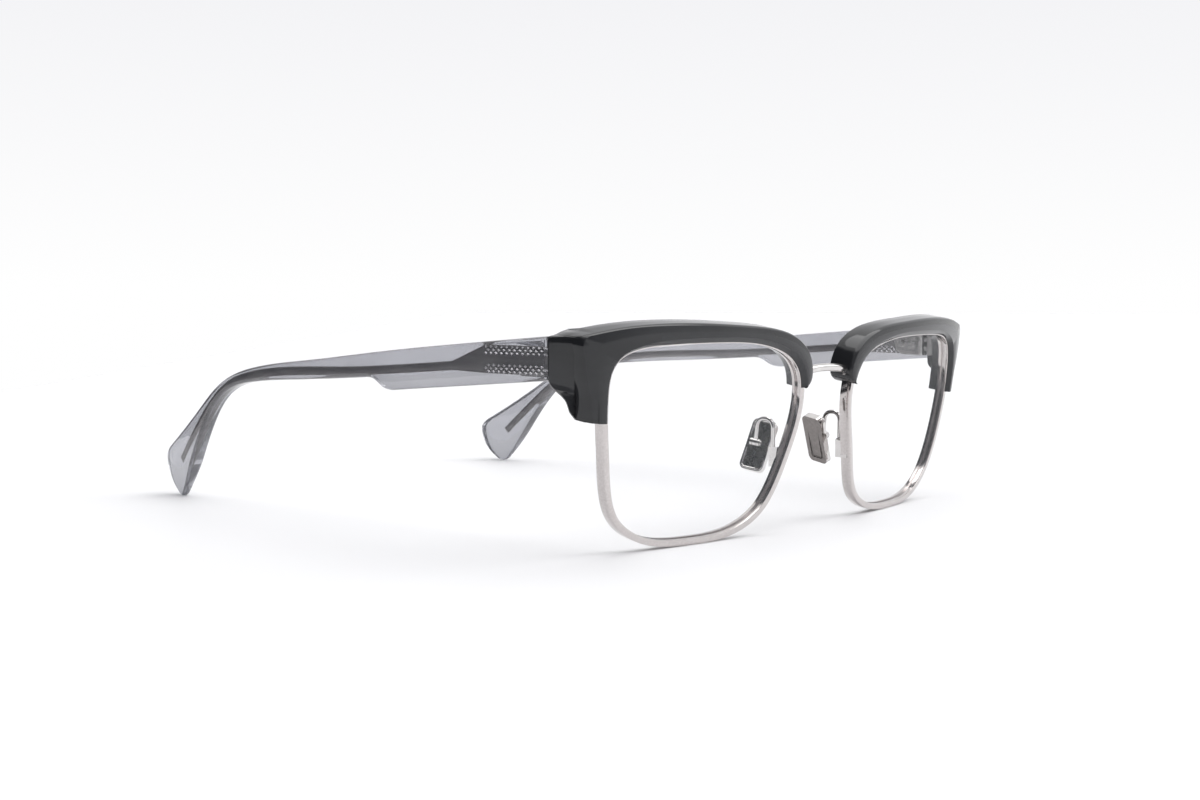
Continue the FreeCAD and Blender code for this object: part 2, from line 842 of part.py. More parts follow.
def make_temple_leaf():
    pieces = []
    for index in range(0, knuckle_count, 2):
        low = knuckle_low(index)
        pieces.append(upright_cylinder(knuckle_radius, low, knuckle_height))
        pieces.append(Part.makeBox(
            leaf_front_face - hinge_x + 0.2, 1.6, knuckle_height, Vector(hinge_x, hinge_y - 0.6, low)
        ))
        rib = Part.makeBox(
            0.55, leaf_length - hinge_stack / 2 - 0.4, knuckle_height,
            Vector(leaf_front_face - 0.5, hinge_y, low)
        )
        pieces.append(rib)
    leaf = leaf_plate(0.0).multiFuse(pieces)
    leaf = leaf.cut(upright_cylinder(hinge_screw_radius + hinge_clearance, hinge_low - 1, hinge_stack + 2))
    for share in rivet_places:
        leaf = leaf.cut(rivet_shank(share, 0.0))
        leaf = leaf.cut(rivet_head(share))
    return leaf


def rivet_start(share):
    along = hinge_y + share * leaf_length
    return Vector(leaf_front_face - 0.02, along, hinge_low + hinge_stack / 2)


def rivet_shank(share, grow):
    length = leaf_thickness + rivet_reach + grow
    return Part.makeCylinder(rivet_radius + grow, length, rivet_start(share), Vector(1, 0, 0))


def rivet_head(share):
    base = rivet_start(share) - Vector(rivet_head_height, 0, 0)
    return Part.makeCylinder(rivet_head_radius, rivet_head_height, base, Vector(1, 0, 0))


def make_rivets():
    return Part.makeCompound([rivet_shank(share, 0.0).fuse(rivet_head(share)) for share in rivet_places])


def make_hinge_screw():
    shaft = upright_cylinder(hinge_screw_radius, hinge_low, hinge_stack + 0.05)
    head = upright_cylinder(hinge_head_radius, hinge_low + hinge_stack + 0.05, hinge_head_height)
    return shaft.fuse(head)


def make_temple():
    body = side_prism(temple_outline()).common(bow_layer(0, temple_thickness))
    body = body.cut(core_pocket())
    body = body.cut(leaf_plate(leaf_gap))
    for share in rivet_places:
        body = body.cut(rivet_shank(share, leaf_gap))
    return body


def cut_hinge_room(brow):
    block = Part.makeBox(
        front_leaf_width + 2 * leaf_gap, front_leaf_depth + leaf_gap + 1, hinge_stack + 2 * leaf_gap,
        Vector(hinge_x - front_leaf_width / 2 - leaf_gap, end_back - front_leaf_depth - leaf_gap,
               hinge_low - leaf_gap)
    )
    return brow.cut(block)


def build_left():
    rim = placed(make_rim())
    brow = cut_hinge_room(cut_brow_pockets(make_brow()))
    return {
        "brow": brow,
        "rim": rim,
        "lens": placed(make_lens()),
        "rim_lock": placed(make_lock()),
        "rim_lock_screw": placed(make_lock_screw()),
        "rim_lugs": placed(make_lugs()),
        "brow_screws": placed(make_brow_screws()),
        "pad_arm": make_pad_arm(),
        "nose_pad": make_pad(),
        "pad_screw": make_pad_screw(),
        "hinge_front": make_front_leaf(),
        "hinge_screw": make_hinge_screw(),
        "hinge_temple": make_temple_leaf(),
        "hinge_rivets": make_rivets(),
        "temple": make_temple(),
        "temple_core": make_core(),
    }


def main():
    left = build_left()
    nodes = {}
    for name, shape in left.items():
        nodes[name + "_left"] = solid_of(shape)
        nodes[name + "_right"] = solid_of(mirrored(shape))
    rims = (left["rim"], mirrored(left["rim"]))
    nodes["bridge"] = solid_of(make_bridge(rims))
    box = Part.makeCompound(list(nodes.values())).optimalBoundingBox(False, False)
    shift = Vector(0, -(box.YMin + box.YMax) / 2, -box.ZMin)
    os.makedirs("parts", exist_ok=True)
    for name, shape in nodes.items():
        shape.translate(shift)
        shape.exportStep("parts/" + name + ".step")
    print("size", round(box.XLength, 2), round(box.YLength, 2), round(box.ZLength, 2))
    for title, point in (
        ("hinge axis", Vector(hinge_x, hinge_y, hinge_low)),
        ("pad pivot", pad_pivot),
        ("shift", Vector(0, 0, 0)),
    ):
        moved = point + shift
        print(title, round(moved.x, 3), round(moved.y, 3), round(moved.z, 3))
    print("pad axis", round(pad_axis.x, 5), round(pad_axis.y, 5), round(pad_axis.z, 5))


main()
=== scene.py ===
import json
import math

import bmesh
import bpy
import numpy as np
from mathutils import Matrix, Vector


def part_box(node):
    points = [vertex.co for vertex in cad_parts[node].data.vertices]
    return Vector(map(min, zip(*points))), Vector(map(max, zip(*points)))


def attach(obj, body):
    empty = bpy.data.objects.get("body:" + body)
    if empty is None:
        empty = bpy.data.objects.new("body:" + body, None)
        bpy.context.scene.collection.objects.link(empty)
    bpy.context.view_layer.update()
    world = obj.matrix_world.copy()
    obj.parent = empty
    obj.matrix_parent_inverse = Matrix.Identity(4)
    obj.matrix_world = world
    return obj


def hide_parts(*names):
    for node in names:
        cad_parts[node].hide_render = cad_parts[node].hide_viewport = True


# Browline eyeglasses. Sizes in the dictionaries are millimetres, the scene itself is in metres.
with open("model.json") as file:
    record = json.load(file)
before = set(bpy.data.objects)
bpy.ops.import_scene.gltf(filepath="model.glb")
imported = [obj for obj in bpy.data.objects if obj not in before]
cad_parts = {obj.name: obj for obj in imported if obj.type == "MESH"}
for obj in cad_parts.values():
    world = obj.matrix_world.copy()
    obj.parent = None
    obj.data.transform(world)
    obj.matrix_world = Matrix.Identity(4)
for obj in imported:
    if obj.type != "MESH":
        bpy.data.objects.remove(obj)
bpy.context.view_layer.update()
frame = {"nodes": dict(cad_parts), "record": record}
mm = 0.001
print("frame loaded")


# ---- shape helpers

def closedSpline(points, count):
    # smooth closed curve through the points, spaced by chord length
    pts = np.array(points, float)
    n = len(pts)
    gaps = np.linalg.norm(np.roll(pts, -1, axis=0) - pts, axis=1)
    system = np.zeros((n, n))
    right = np.zeros((n, pts.shape[1]))
    for i in range(n):
        before, after = gaps[i - 1], gaps[i]
        system[i, i - 1] += before
        system[i, i] += 2 * (before + after)
        system[i, (i + 1) % n] += after
        ahead = (pts[(i + 1) % n] - pts[i]) / after
        behind = (pts[i] - pts[i - 1]) / before
        right[i] = 6 * (ahead - behind)
    bend = np.linalg.solve(system, right)
    starts = np.concatenate([[0], np.cumsum(gaps)])
    result = []
    for place in np.linspace(0, starts[-1], count, endpoint=False):
        i = min(int(np.searchsorted(starts, place, side="right")) - 1, n - 1)
        j = (i + 1) % n
        h = gaps[i]
        t = place - starts[i]
        a, b = (h - t) / h, t / h
        curve = ((a ** 3 - a) * bend[i] + (b ** 3 - b) * bend[j]) * h * h / 6
        result.append(a * pts[i] + b * pts[j] + curve)
    return np.array(result)


def openSpline(points, count):
    # natural spline through the points, evenly spaced along its length
    pts = np.array(points, float)
    n = len(pts)
    gaps = np.linalg.norm(np.diff(pts, axis=0), axis=1)
    system = np.eye(n)
    right = np.zeros((n, pts.shape[1]))
    for i in range(1, n - 1):
        system[i, i - 1], system[i, i], system[i, i + 1] = gaps[i - 1], 2 * (gaps[i - 1] + gaps[i]), gaps[i]
        right[i] = 6 * ((pts[i + 1] - pts[i]) / gaps[i] - (pts[i] - pts[i - 1]) / gaps[i - 1])
    bend = np.linalg.solve(system, right)
    starts = np.concatenate([[0], np.cumsum(gaps)])
    fine = []
    for place in np.linspace(0, starts[-1], 12 * count):
        i = min(int(np.searchsorted(starts, place, side="right")) - 1, n - 2)
        h = gaps[i]
        t = place - starts[i]
        a, b = (h - t) / h, t / h
        curve = ((a ** 3 - a) * bend[i] + (b ** 3 - b) * bend[i + 1]) * h * h / 6
        fine.append(a * pts[i] + b * pts[i + 1] + curve)
    return evenly(np.array(fine), count)


def evenly(points, count):
    reach = np.concatenate([[0], np.cumsum(np.linalg.norm(np.diff(points, axis=0), axis=1))])
    places = np.linspace(0, reach[-1], count)
    return np.stack([np.interp(places, reach, points[:, k]) for k in range(points.shape[1])], 1)


def meshPiece(name, verts, faces, material, body, smoothAngle=35.0):
    # verts in metres; faces may share them
    mesh = bpy.data.meshes.new(name)
    mesh.from_pydata([tuple(v) for v in verts], [], faces)
    mesh.update()
    piece = bpy.data.objects.new(name, mesh)
    bpy.context.collection.objects.link(piece)
    finishMesh(piece, smoothAngle)
    mesh.materials.append(material)
    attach(piece, body)
    return piece


def finishMesh(piece, smoothAngle):
    work = bmesh.new()
    work.from_mesh(piece.data)
    bmesh.ops.remove_doubles(work, verts=work.verts, dist=1e-7)
    bmesh.ops.recalc_face_normals(work, faces=work.faces)
    limit = math.radians(smoothAngle)
    for face in work.faces:
        face.smooth = True
    for edge in work.edges:
        edge.smooth = len(edge.link_faces) == 2 and edge.calc_face_angle(0.0) < limit
    work.to_mesh(piece.data)
    work.free()


def gridFaces(rows, columns, closeRows, closeColumns):
    faces = []
    for i in range(rows if closeRows else rows - 1):
        for j in range(columns if closeColumns else columns - 1):
            a = i * columns + j
            b = i * columns + (j + 1) % columns
            c = ((i + 1) % rows) * columns + (j + 1) % columns
            d = ((i + 1) % rows) * columns + j
            faces.append((a, b, c, d))
    return faces


# ---- materials

def nodeMaterial(name, **values):
    material = bpy.data.materials.new(name)
    material.use_nodes = True
    shader = material.node_tree.nodes["Principled BSDF"]
    for key, value in values.items():
        shader.inputs[key.replace("_", " ")].default_value = value
    return material, material.node_tree, shader


def addBump(tree, shader, height, strength, distance):
    bump = tree.nodes.new("ShaderNodeBump")
    bump.inputs["Strength"].default_value = strength
    bump.inputs["Distance"].default_value = distance
    tree.links.new(height, bump.inputs["Height"])
    tree.links.new(bump.outputs["Normal"], shader.inputs["Normal"])


def objectNoise(tree, scale, detail, stretch=(1, 1, 1)):
    place = tree.nodes.new("ShaderNodeTexCoord")
    mapping = tree.nodes.new("ShaderNodeMapping")
    mapping.inputs["Scale"].default_value = stretch
    noise = tree.nodes.new("ShaderNodeTexNoise")
    noise.inputs["Scale"].default_value = scale
    noise.inputs["Detail"].default_value = detail
    tree.links.new(place.outputs["Object"], mapping.inputs["Vector"])
    tree.links.new(mapping.outputs["Vector"], noise.inputs["Vector"])
    return noise.outputs["Fac"]


def ramp(tree, value, stops):
    node = tree.nodes.new("ShaderNodeValToRGB")
    while len(node.color_ramp.elements) < len(stops):
        node.color_ramp.elements.new(0.5)
    for element, (place, colour) in zip(node.color_ramp.elements, stops):
        element.position = place
        element.color = (*colour, 1)
    tree.links.new(value, node.inputs["Fac"])
    return node.outputs["Color"]


def colourFrom(tree, shader, value, dark, light, low=0.3, high=0.7):
    tree.links.new(ramp(tree, value, [(low, dark), (high, light)]), shader.inputs["Base Color"])


def metalFinish(name, grain, detail, dark, light, smooth, rough, stretch=(1, 1, 1)):
    # the same fine grain varies both the colour and the polish
    material, tree, shader = nodeMaterial(name, Metallic=1.0)
    pattern = objectNoise(tree, grain, detail, stretch)
    colourFrom(tree, shader, pattern, dark, light)
    spread = tree.nodes.new("ShaderNodeMapRange")
    spread.inputs["To Min"].default_value = smooth
    spread.inputs["To Max"].default_value = rough
    tree.links.new(pattern, spread.inputs["Value"])
    tree.links.new(spread.outputs["Result"], shader.inputs["Roughness"])
    return material, tree, shader, pattern


browFinish = {"dark": (0.016, 0.017, 0.019), "light": (0.030, 0.031, 0.034), "grain": 55.0}
browAcetate, tree, shader = nodeMaterial("browAcetate", Roughness=0.09, IOR=1.5)
clouds = objectNoise(tree, browFinish["grain"], 3.0, (1, 1, 2.2))
colourFrom(tree, shader, clouds, browFinish["dark"], browFinish["light"], 0.3, 0.72)
polish = objectNoise(tree, 900.0, 2.0)
addBump(tree, shader, polish, 0.02, 0.0001)

templeFinish = {"thin": (0.60, 0.605, 0.645), "thick": (0.52, 0.525, 0.56)}
templeAcetate, tree, shader = nodeMaterial("templeAcetate", Roughness=0.015, IOR=1.49, Transmission_Weight=0.8)
clouds = objectNoise(tree, 70.0, 2.0, (1, 0.35, 1))
colourFrom(tree, shader, clouds, templeFinish["thick"], templeFinish["thin"])

rimMetal, tree, shader, brushed = metalFinish(
    "rimMetal", 2600.0, 3.0, (0.55, 0.515, 0.505), (0.65, 0.615, 0.605), 0.06, 0.15)
addBump(tree, shader, brushed, 0.05, 0.00005)

brightMetal = metalFinish("brightMetal", 420.0, 3.0, (0.64, 0.62, 0.61), (0.74, 0.72, 0.71), 0.05, 0.12)[0]

padMetal, tree, shader, satin = metalFinish(
    "padMetal", 1500.0, 4.0, (0.20, 0.185, 0.178), (0.27, 0.25, 0.242), 0.32, 0.46)
addBump(tree, shader, satin, 0.08, 0.00005)

trayMetal = metalFinish("trayMetal", 900.0, 3.0, (0.035, 0.033, 0.03), (0.08, 0.076, 0.07), 0.2, 0.35)[0]
coreMetal = metalFinish(
    "coreMetal", 500.0, 3.0, (0.16, 0.15, 0.14), (0.34, 0.32, 0.30), 0.25, 0.38, (1, 0.05, 1))[0]
screwSteel = metalFinish("screwSteel", 1200.0, 2.0, (0.55, 0.54, 0.53), (0.66, 0.65, 0.64), 0.15, 0.3)[0]

lensClear, tree, shader = nodeMaterial("lensClear", Roughness=0.02, IOR=1.5, Alpha=0.045)
coating = objectNoise(tree, 25.0, 1.0)
colourFrom(tree, shader, coating, (0.90, 0.93, 0.96), (0.97, 0.98, 1.0))
print("materials made")

slotMaterials = {
    "brow_acetate": browAcetate, "temple_acetate": templeAcetate, "rim_metal": rimMetal,
    "lens_clear": lensClear, "screw_steel": screwSteel, "pad_metal": padMetal,
    "hinge_metal": screwSteel, "core_metal": coreMetal,
}
slotOf = {entry["node"]: entry["material_slot"] for entry in frame["record"]["subparts"]}
for nodeName, nodeObject in frame["nodes"].items():
    nodeObject.data.materials.clear()
    nodeObject.data.materials.append(slotMaterials[slotOf[nodeName]])
for nodeName in ("bridge", "pad_arm_left", "pad_arm_right"):
    frame["nodes"][nodeName].data.materials[0] = brightMetal


# ---- where the lenses stand

lensShape = {
    "width": 53.5, "height": 39.0, "gap": 19.6, "wrap": 7.2, "tilt": 9.2, "radius": 145.0,
    "outline": (
        (0.950, -0.080), (0.988, 0.220), (1.000, 0.460), (0.985, 0.680), (0.920, 0.820),
        (0.800, 0.905), (0.520, 0.970), (0.000, 1.000), (-0.400, 0.980), (-0.640, 0.918),
        (-0.830, 0.815), (-0.955, 0.655), (-1.000, 0.430), (-0.975, 0.120), (-0.905, -0.170),
        (-0.825, -0.460), (-0.700, -0.740), (-0.500, -0.905), (-0.220, -0.985), (0.060, -1.000),
        (0.370, -0.985), (0.600, -0.900), (0.790, -0.715), (0.890, -0.440),
    ),
}
halfWidth, halfHeight = lensShape["width"] / 2, lensShape["height"] / 2
outline = closedSpline([(u * halfWidth, v * halfHeight) for u, v in lensShape["outline"]], 288)
along = np.roll(outline, -1, axis=0) - np.roll(outline, 1, axis=0)
along /= np.linalg.norm(along, axis=1, keepdims=True)
outwards = np.stack([along[:, 1], -along[:, 0]], 1)
if np.sum(outwards * outline) < 0:
    outwards = -outwards
tiltTurn = Matrix.Rotation(math.radians(lensShape["tilt"]), 3, "X")
wrapTurn = Matrix.Rotation(math.radians(lensShape["wrap"]), 3, "Z")
turnArray = np.array(tiltTurn @ wrapTurn)


def lensSag(u, v, radius=None):
    radius = radius or lensShape["radius"]
    return radius - np.sqrt(radius ** 2 - u * u - v * v)


def leaned(u, w, v):
    return np.stack([u, w, v], -1) @ turnArray.T


rimShape = {"outer": 0.85, "inner": -0.45, "half": 1.15, "edge": 0.13, "groove": 0.43}
rimEdge = outline + outwards * rimShape["outer"]
rimCurve = lensSag(outline[:, 0], outline[:, 1])
rimHull = np.concatenate([
    leaned(rimEdge[:, 0], rimCurve + side * rimShape["half"], rimEdge[:, 1]) for side in (-1, 1)
])
# the middle of the left lens, found from where its rim stands in the frame
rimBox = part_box("rim_left")
lensMiddle = np.array([
    lensShape["gap"] / 2 + halfWidth * math.cos(math.radians(lensShape["wrap"])),
    rimBox[1][1] / mm - rimHull[:, 1].max(),
    rimBox[0][2] / mm - rimHull[:, 2].min(),
])


def worldFrom(u, w, v):
    # lens coordinates (outwards, towards the face, up) to metres, wearer's left side
    return (leaned(u, w, v) + lensMiddle) * mm


def mirroredPair(buildSide, name, nodes, body="front"):
    # the same piece for both sides; right is the mirror image of left
    for side, sign in (("left", 1), ("right", -1)):
        piece = buildSide(name + "_" + side, sign, body.format(side=side))
        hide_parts(*[node + "_" + side for node in nodes])


# ---- rims

def rimPiece(name, sign, body):
    out, inn, half, edge, groove = (rimShape[key] for key in ("outer", "inner", "half", "edge", "groove"))
    profile = [
        (out, -half + edge), (out - edge * 0.3, -half + edge * 0.3), (out - edge, -half),
        (inn + edge, -half), (inn + edge * 0.3, -half + edge * 0.3), (inn, -half + edge),
        (inn, -groove), (0.0, -groove), (0.0, groove), (inn, groove),
        (inn, half - edge), (inn + edge * 0.3, half - edge * 0.3), (inn + edge, half),
        (out - edge, half), (out - edge * 0.3, half - edge * 0.3), (out, half - edge),
    ]
    sag = lensSag(outline[:, 0], outline[:, 1])
    rows = []
    for offset, depth in profile:
        shifted = outline + outwards * offset
        rows.append(worldFrom(shifted[:, 0], sag + depth, shifted[:, 1]))
    verts = np.stack(rows, 1).reshape(-1, 3) * (sign, 1, 1)
    return meshPiece(name, verts, gridFaces(len(outline), len(profile), True, True), rimMetal, body)


mirroredPair(rimPiece, "eyewire", ["rim"])
print("rims made")


# ---- brows

browShape = {
    "rise": 3.1, "front": 1.72, "back": 3.0, "radius": 178.0, "opening": 0.25, "chamfer": 0.8,
    "lobe": 2.35, "lobeReach": 9.5, "leg": 4.5, "legReach": 15.2, "overhang": 7.2,
    "topBevel": 0.75, "channel": 0.9, "channelHalf": 1.2,
    "endSide": 71.2, "endWidth": 5.7, "endBack": 10.35, "endHeight": 8.3, "endTopDrop": 0.1, "topFall": 0.23,
}


def browOuterEdge():
    # from the bottom of the outer leg, round the top, to the bottom of the nasal lobe
    b = browShape
    legBottom, lobeBottom = halfHeight - b["legReach"], halfHeight - b["lobeReach"]
    farEdge = halfWidth + b["overhang"]
    side = openSpline([
        (halfWidth + b["leg"], legBottom), (halfWidth + b["leg"] + 0.5, legBottom + 3.6),
        (farEdge - 0.9, halfHeight - 6.6), (farEdge - 0.3, halfHeight - 3.0),
    ], 30)
    corner = openSpline([
        (farEdge - 0.3, halfHeight - 3.0), (farEdge - 0.1, halfHeight - 0.4), (farEdge - 1.6, halfHeight + 0.55),
    ], 24)
    crest = halfHeight + b["rise"]
    over = openSpline([
        (farEdge - 1.6, halfHeight + 0.55), (halfWidth - 0.8, crest - 1.2),
        (0.66 * halfWidth, crest - 0.2), (0.24 * halfWidth, crest + 0.2),
        (-0.21 * halfWidth, crest - 0.1), (-0.54 * halfWidth, crest - 0.7),
        (-0.75 * halfWidth, crest - 1.7), (-halfWidth + 2.5, crest - 3.3), (-halfWidth - 0.3, crest - 5.4),
        (-halfWidth - b["lobe"] + 0.5, crest - 7.8), (-halfWidth - b["lobe"], crest - 10.0),
        (-halfWidth - b["lobe"] + 0.5, lobeBottom + 0.9), (-halfWidth - 0.6, lobeBottom),
    ], 200)
    return np.concatenate([side[:-1], corner[:-1], over])


def nearest(points, target):
    return int(np.argmin(np.linalg.norm(points - np.array(target), axis=1)))


def browStations(count=190):
    # pairs of inner and outer points that cross the brow squarely
    b = browShape
    outer = browOuterEdge()
    legInner = min((k for k in range(len(outline)) if outline[k, 0] > 0),
                   key=lambda k: abs(outline[k, 1] - (halfHeight - b["legReach"])))
    loop = np.roll(outline, -legInner, axis=0)
    if loop[6, 1] < loop[0, 1]:
        loop = np.concatenate([loop[:1], loop[1:][::-1]])
    lobeInner = min((k for k in range(len(loop)) if loop[k, 0] < 0 and k < 0.6 * len(loop)),
                    key=lambda k: abs(loop[k, 1] - (halfHeight - b["lobeReach"])))
    inner = loop[:lobeInner + 1]
    marks = [
        ((0.985 * halfWidth, 0.68 * halfHeight), (halfWidth + 6.7, halfHeight - 4.0)),
        ((0.92 * halfWidth, 0.82 * halfHeight), (halfWidth + 6.9, halfHeight - 0.3)),
        ((0.80 * halfWidth, 0.905 * halfHeight), (halfWidth + 2.2, halfHeight + 1.3)),
        ((0.52 * halfWidth, 0.97 * halfHeight), (0.56 * halfWidth, halfHeight + 3.0)),
        ((0.0, halfHeight), (0.0, halfHeight + 3.2)),
        ((-0.64 * halfWidth, 0.918 * halfHeight), (-0.70 * halfWidth, halfHeight + 1.7)),
        ((-0.83 * halfWidth, 0.815 * halfHeight), (-0.94 * halfWidth, halfHeight - 0.4)),
        ((-0.955 * halfWidth, 0.655 * halfHeight), (-1.04 * halfWidth, halfHeight - 3.4)),
    ]
    innerReach = np.concatenate([[0], np.cumsum(np.linalg.norm(np.diff(inner, axis=0), axis=1))])
    outerReach = np.concatenate([[0], np.cumsum(np.linalg.norm(np.diff(outer, axis=0), axis=1))])
    innerMarks = [0] + [innerReach[nearest(inner, m[0])] for m in marks] + [innerReach[-1]]
    outerMarks = [0] + [outerReach[nearest(outer, m[1])] for m in marks] + [outerReach[-1]]
    places = np.linspace(0, outerReach[-1], count)
    innerPlaces = np.interp(places, outerMarks, innerMarks)
    outerPoints = np.stack([np.interp(places, outerReach, outer[:, k]) for k in (0, 1)], 1)
    innerPoints = np.stack([np.interp(innerPlaces, innerReach, inner[:, k]) for k in (0, 1)], 1)
    return innerPoints, outerPoints


def browTop():
    # the level where the endpiece meets the temple
    edge = worldFrom(np.array([halfWidth + browShape["overhang"]]), np.array([lensSag(halfWidth, halfHeight)]),
                     np.array([halfHeight]))
    return edge[0, 2] / mm + browShape["endTopDrop"]


hingeLevel = browTop()


def browPiece(name, sign, body):
    b = browShape
    inner, outer = browStations()
    across = outer - inner
    length = np.linalg.norm(across, axis=1)
    across /= length[:, None]

    def front(p):
        return lensSag(p[:, 0], p[:, 1], b["radius"]) - b["front"]

    def middle(p):
        return lensSag(p[:, 0], p[:, 1])

    def back(p):
        return middle(p) + b["back"]

    def point(distance, depth, lift=0.0):
        p = inner + across * np.broadcast_to(distance, length.shape)[:, None]
        return worldFrom(p[:, 0], depth(p) + lift, p[:, 1]) / mm

    bevel = b["topBevel"]
    innerBlock = np.maximum(length - 0.9, 0.5 * length)
    # the side of the outer corner is rounder than the top edge
    tangent = np.gradient(outer, axis=0)
    tangent /= np.linalg.norm(tangent, axis=1, keepdims=True)
    onSide = np.clip((outer[:, 0] - halfWidth - 2.0) / 2.5, 0, 1)
    onSide *= np.clip((tangent[:, 1] - 0.35) / 0.4, 0, 1)
    lowness = np.clip((halfHeight - 3.5 - outer[:, 1]) / 9.0, 0, 1)
    bevel = bevel + onSide * (1.15 + 1.1 * lowness)
    rows = [
        point(-b["opening"], middle, -1.15),
        point(b["chamfer"] - 0.06, front, 0.05),
        point(b["chamfer"] + 0.05, front),
        point(0.5 * length, front),
        point(length - bevel, front),
        point(length - 0.45 * bevel, front, 0.12 * bevel),
        point(length - 0.12 * bevel, front, 0.5 * bevel),
        point(length, front, 1.1 * bevel),
        point(length - 0.30 * onSide, front, 1.1 * bevel + 0.12 + 0.1 * onSide),
    ]
    wallEnd = point(length, back, -0.45)
    rearEdge = [wallEnd, point(length - 0.12, back, -0.12), point(length - 0.45, back)]
    blockBack = point(innerBlock, back)
    blockRoot = point(innerBlock, back)
    # endpiece: behind the outer corner the outer wall runs straight back to the hinge
    top = hingeLevel
    low = top - b["endHeight"]
    backY = b["endBack"] + lensMiddle[1]
    heights = wallEnd[:, 2]
    depthAt = backY - np.interp(heights, low + np.array([-7.0, -3.6, -2.9, -2.1, -1.4, -0.7, 0.0, 0.6]),
                                [2.60, 2.70, 2.60, 2.15, 1.40, 0.60, 0.12, 0.0])
    sideAt = b["endSide"] - np.interp(heights, low + np.array([-7.0, -5.2, -3.6, -2.4, -1.2, 0.0, 1.2]),
                                      [b["endSide"] - wallEnd[0, 0] + 0.2, 2.75, 1.95, 1.25, 0.65, 0.2, 0.0])
    inside = b["endSide"] - b["endWidth"]
    onBlock = wallEnd[:, 0] > inside
    stretch = np.clip((wallEnd[:, 0] - inside) / 4.0, 0, 1)
    # the top falls gently towards the hinge, where it meets the temple
    wallFront = rows[7]
    for k in np.nonzero(onBlock)[0]:
        onTop = 1 - onSide[k]
        sideX = sideAt[k] * (1 - onTop) + min(sideAt[k] - 0.1, wallEnd[k, 0] + 0.9 * stretch[k]) * onTop
        roof = top + b["topFall"] * (b["endSide"] - sideX)
        height = min(heights[k], roof) * onTop + min(wallFront[k, 2] + 0.25, top) * (1 - onTop)
        y = depthAt[k]
        rearEdge[0][k] = (sideX, y - 0.35, height)
        rearEdge[1][k] = (sideX - 0.1, y - 0.1, height - 0.08)
        rearEdge[2][k] = (sideX - 0.35, y, height - 0.3)
        blockBack[k] = (inside, y, min(height, max(heights[k] - 1.0, low - 5)))
        blockRoot[k] = (inside, blockRoot[k, 1], blockBack[k, 2])
    rows += [(rows[-1] + rearEdge[0]) / 2] + rearEdge + [blockBack, blockRoot]
    rows += [
        point(0.15, back), point(-b["opening"] + 0.1, back, -0.1), point(-b["opening"], back, -0.35),
        point(-b["opening"], middle, b["channelHalf"]), point(b["channel"], middle, b["channelHalf"]),
        point(b["channel"], middle, -1.15),
    ]
    sections = np.stack(rows, 1)
    count, columns = sections.shape[:2]
    verts = sections.reshape(-1, 3) * (sign * mm, mm, mm)
    faces = gridFaces(count, columns, False, True)
    faces.append(tuple(range(columns)))
    faces.append(tuple(range((count - 1) * columns, count * columns))[::-1])
    return meshPiece(name, verts, faces, browAcetate, body, 28.0)


mirroredPair(browPiece, "browShell", ["brow"])
print("brows made")


# ---- temples

templeShape = {
    "length": 136.3, "thickness": 3.6, "round": 0.75, "frontHeight": 8.0, "bow": 655.0, "bowLead": 6.6,
    "bendBeforeEnd": 42.3, "bendHeight": 31.7, "bendWidth": 3.1, "stepPlace": 43.0, "stepLength": 8.6,
    "stepWidth": 4.85, "crown": 0.45, "tipThinning": 0.6, "tipHeight": 9.0,
}
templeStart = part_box("temple_left")[0][1] / mm
templeRun = templeShape["length"]
bendRun = templeRun - templeShape["bendBeforeEnd"]


def topLine(run):
    share = run / bendRun
    crown = templeShape["crown"] * math.sin(math.pi * share)
    return hingeLevel + (templeShape["bendHeight"] - hingeLevel) * share + crown


def templeOutline():
    t = templeShape
    stepEnd = t["stepPlace"] + t["stepLength"]

    def fromEnd(before, height):
        return (templeRun - before, height)

    top = [(bendRun * s, topLine(bendRun * s)) for s in (0, 0.25, 0.5, 0.75, 1.0)]
    top += [fromEnd(33.3, 29.7), fromEnd(26.3, 26.9), fromEnd(18.8, 22.2), fromEnd(9.0, 15.9)]
    top += [fromEnd(1.9, 11.7)]
    endCurve = [fromEnd(1.9, 11.7), fromEnd(0.2, 9.9), fromEnd(0.1, 7.4), fromEnd(2.6, 2.2)]
    endCurve += [fromEnd(5.0, 0.2)]
    toe = [fromEnd(5.0, 0.2), fromEnd(6.3, 0.0), fromEnd(7.6, 0.6)]
    halfway = (bendRun + stepEnd) / 2
    under = [
        fromEnd(7.6, 0.6), fromEnd(11.0, 4.9), fromEnd(16.5, 13.0), fromEnd(21.5, 19.4), fromEnd(27.0, 24.2),
        fromEnd(34.0, 27.2), (bendRun, t["bendHeight"] - t["bendWidth"]),
        (halfway, topLine(halfway) - (t["bendWidth"] + t["stepWidth"]) / 2),
        (stepEnd, topLine(stepEnd) - t["stepWidth"]),
    ]
    step = [
        (stepEnd, topLine(stepEnd) - t["stepWidth"]),
        (t["stepPlace"] + 0.72 * t["stepLength"], topLine(stepEnd) - t["stepWidth"] - 0.1),
        (t["stepPlace"] + 0.3 * t["stepLength"], topLine(t["stepPlace"]) - t["frontHeight"] + 0.5),
        (t["stepPlace"], topLine(t["stepPlace"]) - t["frontHeight"] + 0.15),
    ]
    frontLow = (0.0, hingeLevel - t["frontHeight"])
    plain = evenly(np.array([step[-1], frontLow]), 44)
    front = evenly(np.array([frontLow, top[0]]), 8)
    parts = [openSpline(top, 140), openSpline(endCurve, 20), openSpline(toe, 6), openSpline(under, 130),
             openSpline(step, 14), plain, front]
    return np.concatenate([part[:-1] for part in parts])


def bowX(run, depth):
    # how far out the temple stands at this run, on its long gentle bow
    t = templeShape
    centreX = browShape["endSide"] - t["thickness"] / 2
    return centreX - t["bow"] + math.sqrt((t["bow"] + depth) ** 2 - (run + t["bowLead"]) ** 2)


